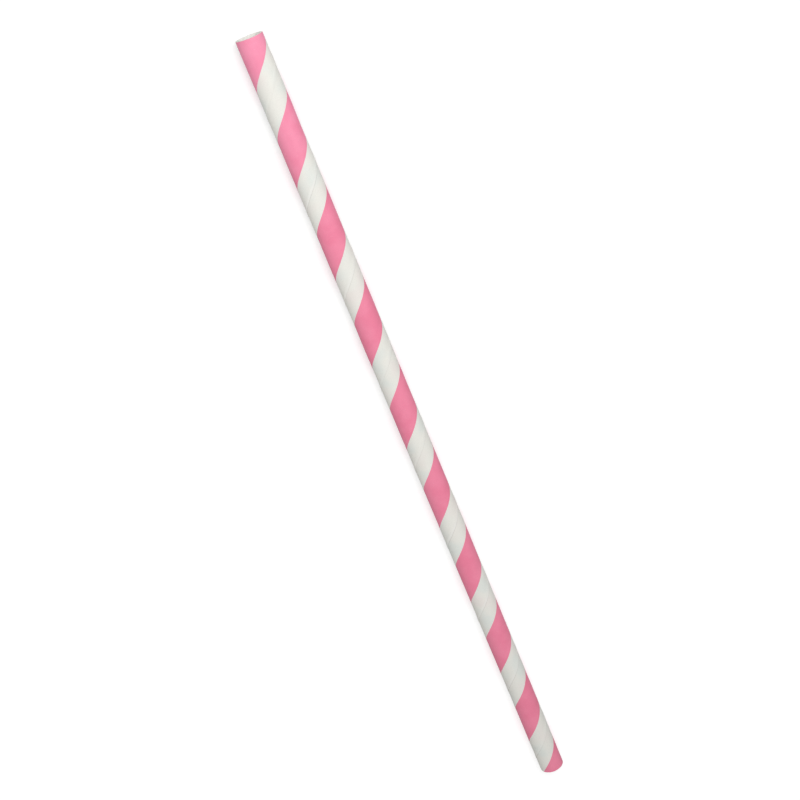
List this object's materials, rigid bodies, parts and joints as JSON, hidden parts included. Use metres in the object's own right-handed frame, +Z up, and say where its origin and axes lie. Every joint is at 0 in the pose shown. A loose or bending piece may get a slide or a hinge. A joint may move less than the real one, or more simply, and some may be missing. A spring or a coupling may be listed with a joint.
{
  "type": "paper drinking straw",
  "caption": "Straight spiral-wound paper drinking straw with a wide pink and white stripe, open at both square-cut ends.",
  "frame": {"origin": "on the ground under the middle of the lying straw", "axes": "+X along the straw from the drinking end to the far end, +Z up from the ground"},
  "size_m": [0.197, 0.006, 0.0061],
  "materials": {
    "striped_paper": "matt uncoated paper"
  },
  "bodies": {
    "root": {"straw_tube": "striped_paper"}
  },
  "joints": []
}
